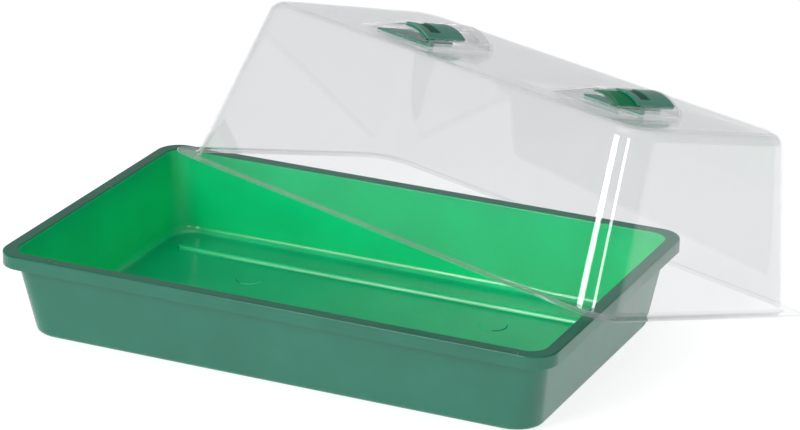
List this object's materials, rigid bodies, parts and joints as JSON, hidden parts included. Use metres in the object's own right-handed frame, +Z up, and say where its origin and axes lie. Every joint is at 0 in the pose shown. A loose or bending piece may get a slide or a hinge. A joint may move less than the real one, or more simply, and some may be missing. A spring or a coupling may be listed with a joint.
{
  "type": "humidity dome tray",
  "caption": "Low green seed tray with a clear rectangular dome lid leaning on its rim, the lid's roof carrying raised vents with green curved sliders.",
  "frame": {"origin": "centre of the tray's underside, on the surface it stands on", "axes": "+X along the tray's long side to the right, +Y to its back, where the dome leans down to the ground, +Z up"},
  "size_m": [0.4523, 0.3834, 0.1769],
  "materials": {
    "tray_green": "translucent glossy green moulded plastic",
    "dome_clear": "clear glossy moulded polystyrene",
    "vent_plate_green": "glossy deep green plastic",
    "slider_green": "satin green plastic"
  },
  "bodies": {
    "tray": {"tray": "tray_green"},
    "dome": {"dome": "dome_clear", "left_vent_plate": "vent_plate_green", "right_vent_plate": "vent_plate_green"},
    "left_slider": {"left_vent_slider": "slider_green", "left_vent_shutter": "slider_green"},
    "right_slider": {"right_vent_slider": "slider_green", "right_vent_shutter": "slider_green"}
  },
  "joints": [
    {"name": "dome_lift", "type": "slide", "parent": "tray", "child": "dome", "axis": [0, 0, 1], "range_m": [0, 0.25]},
    {"name": "left_vent_slide", "type": "slide", "parent": "dome", "child": "left_slider", "axis": [0.287, 0.9193, -0.2693], "range_m": [0, 0.022]},
    {"name": "right_vent_slide", "type": "slide", "parent": "dome", "child": "right_slider", "axis": [0.287, 0.9193, -0.2693], "range_m": [-0.022, 0]}
  ]
}
